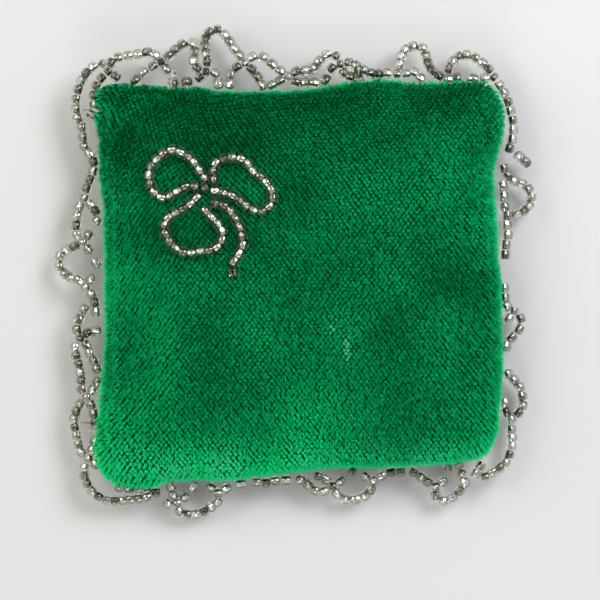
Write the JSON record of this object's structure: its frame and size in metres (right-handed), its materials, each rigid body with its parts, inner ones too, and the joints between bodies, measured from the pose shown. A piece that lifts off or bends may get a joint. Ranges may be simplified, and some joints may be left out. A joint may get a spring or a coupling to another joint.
{
  "type": "hat pin cushion",
  "caption": "Small stuffed square velvet hat-pin cushion with a netted glass-bead edging round its seam and a sewn three-leaf bead sprig.",
  "frame": {"origin": "under the middle of the velvet, on the flat face that the cushion rests on", "axes": "+X to the right and +Y to the top of the cushion as it is looked at, +Z out of the velvet front panel"},
  "size_m": [0.0967, 0.0993, 0.015],
  "materials": {
    "velvet": "deep emerald green cotton pile velvet, pile about 0.8 mm, soft sheen at the edges",
    "backing_cloth": "plain woven green cotton cloth",
    "wadding": "undyed cotton wadding, packed firm",
    "seam_thread": "green cotton sewing thread",
    "beading_thread": "waxed off-white beading thread",
    "silver_lined_bead": "clear glass seed bead with a silvered bore, slightly grey with age"
  },
  "bodies": {
    "cushion": {"front_panel": "velvet", "back_panel": "backing_cloth", "stuffing": "wadding", "seam_thread": "seam_thread", "corner_top_left": "silver_lined_bead", "corner_top_right": "silver_lined_bead", "corner_bottom_right": "silver_lined_bead", "corner_bottom_left": "silver_lined_bead", "corner_top_left_thread": "beading_thread", "corner_top_right_thread": "beading_thread", "corner_bottom_right_thread": "beading_thread", "corner_bottom_left_thread": "beading_thread", "sprig_leaf_left": "silver_lined_bead", "sprig_leaf_right": "silver_lined_bead", "sprig_leaf_lower": "silver_lined_bead", "sprig_stem": "silver_lined_bead", "sprig_centre_bead": "silver_lined_bead", "sprig_thread": "beading_thread"},
    "top_net": {"top_scallop_1": "silver_lined_bead", "top_scallop_2": "silver_lined_bead", "top_scallop_3": "silver_lined_bead", "top_scallop_4": "silver_lined_bead", "top_scallop_5": "silver_lined_bead", "top_scallop_6": "silver_lined_bead", "top_scallop_7": "silver_lined_bead", "top_thread": "beading_thread"},
    "right_net": {"right_scallop_1": "silver_lined_bead", "right_scallop_2": "silver_lined_bead", "right_scallop_3": "silver_lined_bead", "right_thread": "beading_thread"},
    "bottom_net": {"bottom_scallop_1": "silver_lined_bead", "bottom_scallop_2": "silver_lined_bead", "bottom_scallop_3": "silver_lined_bead", "bottom_scallop_4": "silver_lined_bead", "bottom_scallop_5": "silver_lined_bead", "bottom_scallop_6": "silver_lined_bead", "bottom_scallop_7": "silver_lined_bead", "bottom_thread": "beading_thread"},
    "left_net": {"left_scallop_1": "silver_lined_bead", "left_scallop_2": "silver_lined_bead", "left_scallop_3": "silver_lined_bead", "left_scallop_4": "silver_lined_bead", "left_scallop_5": "silver_lined_bead", "left_thread": "beading_thread"},
    "tail": {"tail_beads": "silver_lined_bead", "tail_thread": "beading_thread"}
  },
  "joints": [
    {"name": "top_net_fold", "type": "hinge", "parent": "cushion", "child": "top_net", "pos_m": [0, 0.0408, 0.00712], "axis": [0.9998, 0, -0.02], "range_deg": [-12, 70]},
    {"name": "right_net_fold", "type": "hinge", "parent": "cushion", "child": "right_net", "pos_m": [0.0408, 0, 0.00548], "axis": [0, -0.9998, -0.02], "range_deg": [-12, 45]},
    {"name": "bottom_net_fold", "type": "hinge", "parent": "cushion", "child": "bottom_net", "pos_m": [0, -0.0389, 0.00552], "axis": [-0.9974, -0.0698, 0.0185], "range_deg": [-12, 45]},
    {"name": "left_net_fold", "type": "hinge", "parent": "cushion", "child": "left_net", "pos_m": [-0.0406, 0, 0.00711], "axis": [0, 0.9998, 0.02], "range_deg": [-12, 70]},
    {"name": "tail_swing", "type": "hinge", "parent": "cushion", "child": "tail", "pos_m": [0.0416, 0.0246, 0.0052], "axis": [0, -1, 0], "range_deg": [-15, 60]}
  ]
}
